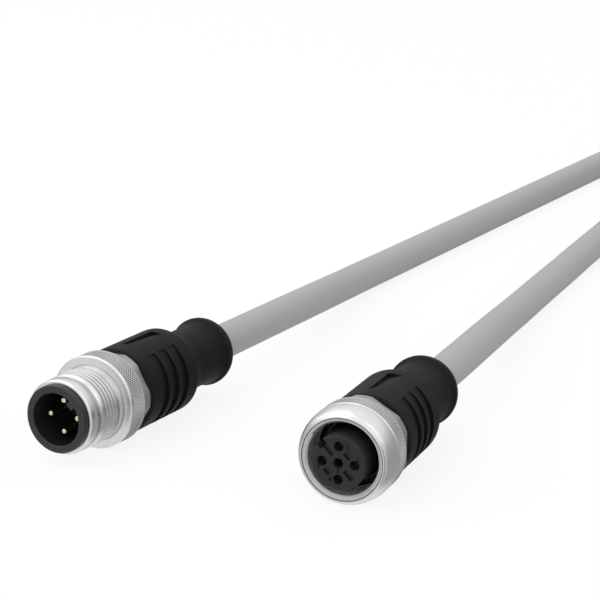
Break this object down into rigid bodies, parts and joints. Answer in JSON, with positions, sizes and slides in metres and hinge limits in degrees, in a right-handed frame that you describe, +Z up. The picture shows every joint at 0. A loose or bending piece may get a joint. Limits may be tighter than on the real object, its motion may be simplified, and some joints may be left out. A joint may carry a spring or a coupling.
{
  "type": "m12 connection cable",
  "caption": "Sensor cable with a round threaded plug on one end and a matching socket on the other, both with moulded grips.",
  "frame": {"origin": "on the surface that the connectors lie on, under the middle of the two heads' common box (cable left out)", "axes": "+Y along the plug's axis from its mating face to its cable, +Z up; the socket lies beside it, turned 7.44 degrees about +Z"},
  "size_m": [0.0803, 0.3141, 0.0149],
  "materials": {
    "nickel_plate": "satin nickel plate, knurled and threaded",
    "carrier_plastic": "fine matte moulding",
    "contact_gold": "thin gold plate",
    "inner_mould_plastic": "natural, as moulded",
    "grip_polyurethane": "fine matte moulding",
    "seal_rubber": "smooth",
    "wire_brown": "smooth insulation",
    "wire_white": "smooth insulation",
    "wire_blue": "smooth insulation",
    "wire_black": "smooth insulation",
    "cable_jacket": "light grey, fine matte"
  },
  "bodies": {
    "cable_set": {"plug_contact_carrier": "carrier_plastic", "plug_pin_1": "contact_gold", "plug_pin_2": "contact_gold", "plug_pin_3": "contact_gold", "plug_pin_4": "contact_gold", "plug_wire_brown": "wire_brown", "plug_wire_white": "wire_white", "plug_wire_blue": "wire_blue", "plug_wire_black": "wire_black", "plug_inner_mould": "inner_mould_plastic", "plug_grip": "grip_polyurethane", "socket_contact_insert": "carrier_plastic", "socket_seal": "seal_rubber", "socket_contact_1": "contact_gold", "socket_contact_2": "contact_gold", "socket_contact_3": "contact_gold", "socket_contact_4": "contact_gold", "socket_wire_brown": "wire_brown", "socket_wire_white": "wire_white", "socket_wire_blue": "wire_blue", "socket_wire_black": "wire_black", "socket_inner_mould": "inner_mould_plastic", "socket_grip": "grip_polyurethane", "cable_from_plug": "cable_jacket", "cable_coil": "cable_jacket", "cable_to_socket": "cable_jacket"},
    "plug_ring": {"plug_coupling_ring": "nickel_plate"},
    "socket_nut": {"socket_coupling_nut": "nickel_plate"}
  },
  "joints": [
    {"name": "plug_ring_turn", "type": "hinge", "parent": "cable_set", "child": "plug_ring", "pos_m": [-0.02284, -0.01396, 0.00745], "axis": [0, 1, 0], "continuous": true},
    {"name": "socket_nut_turn", "type": "hinge", "parent": "cable_set", "child": "socket_nut", "pos_m": [0.02252, -0.01003, 0.00745], "axis": [-0.1295, 0.9916, 0], "continuous": true}
  ]
}
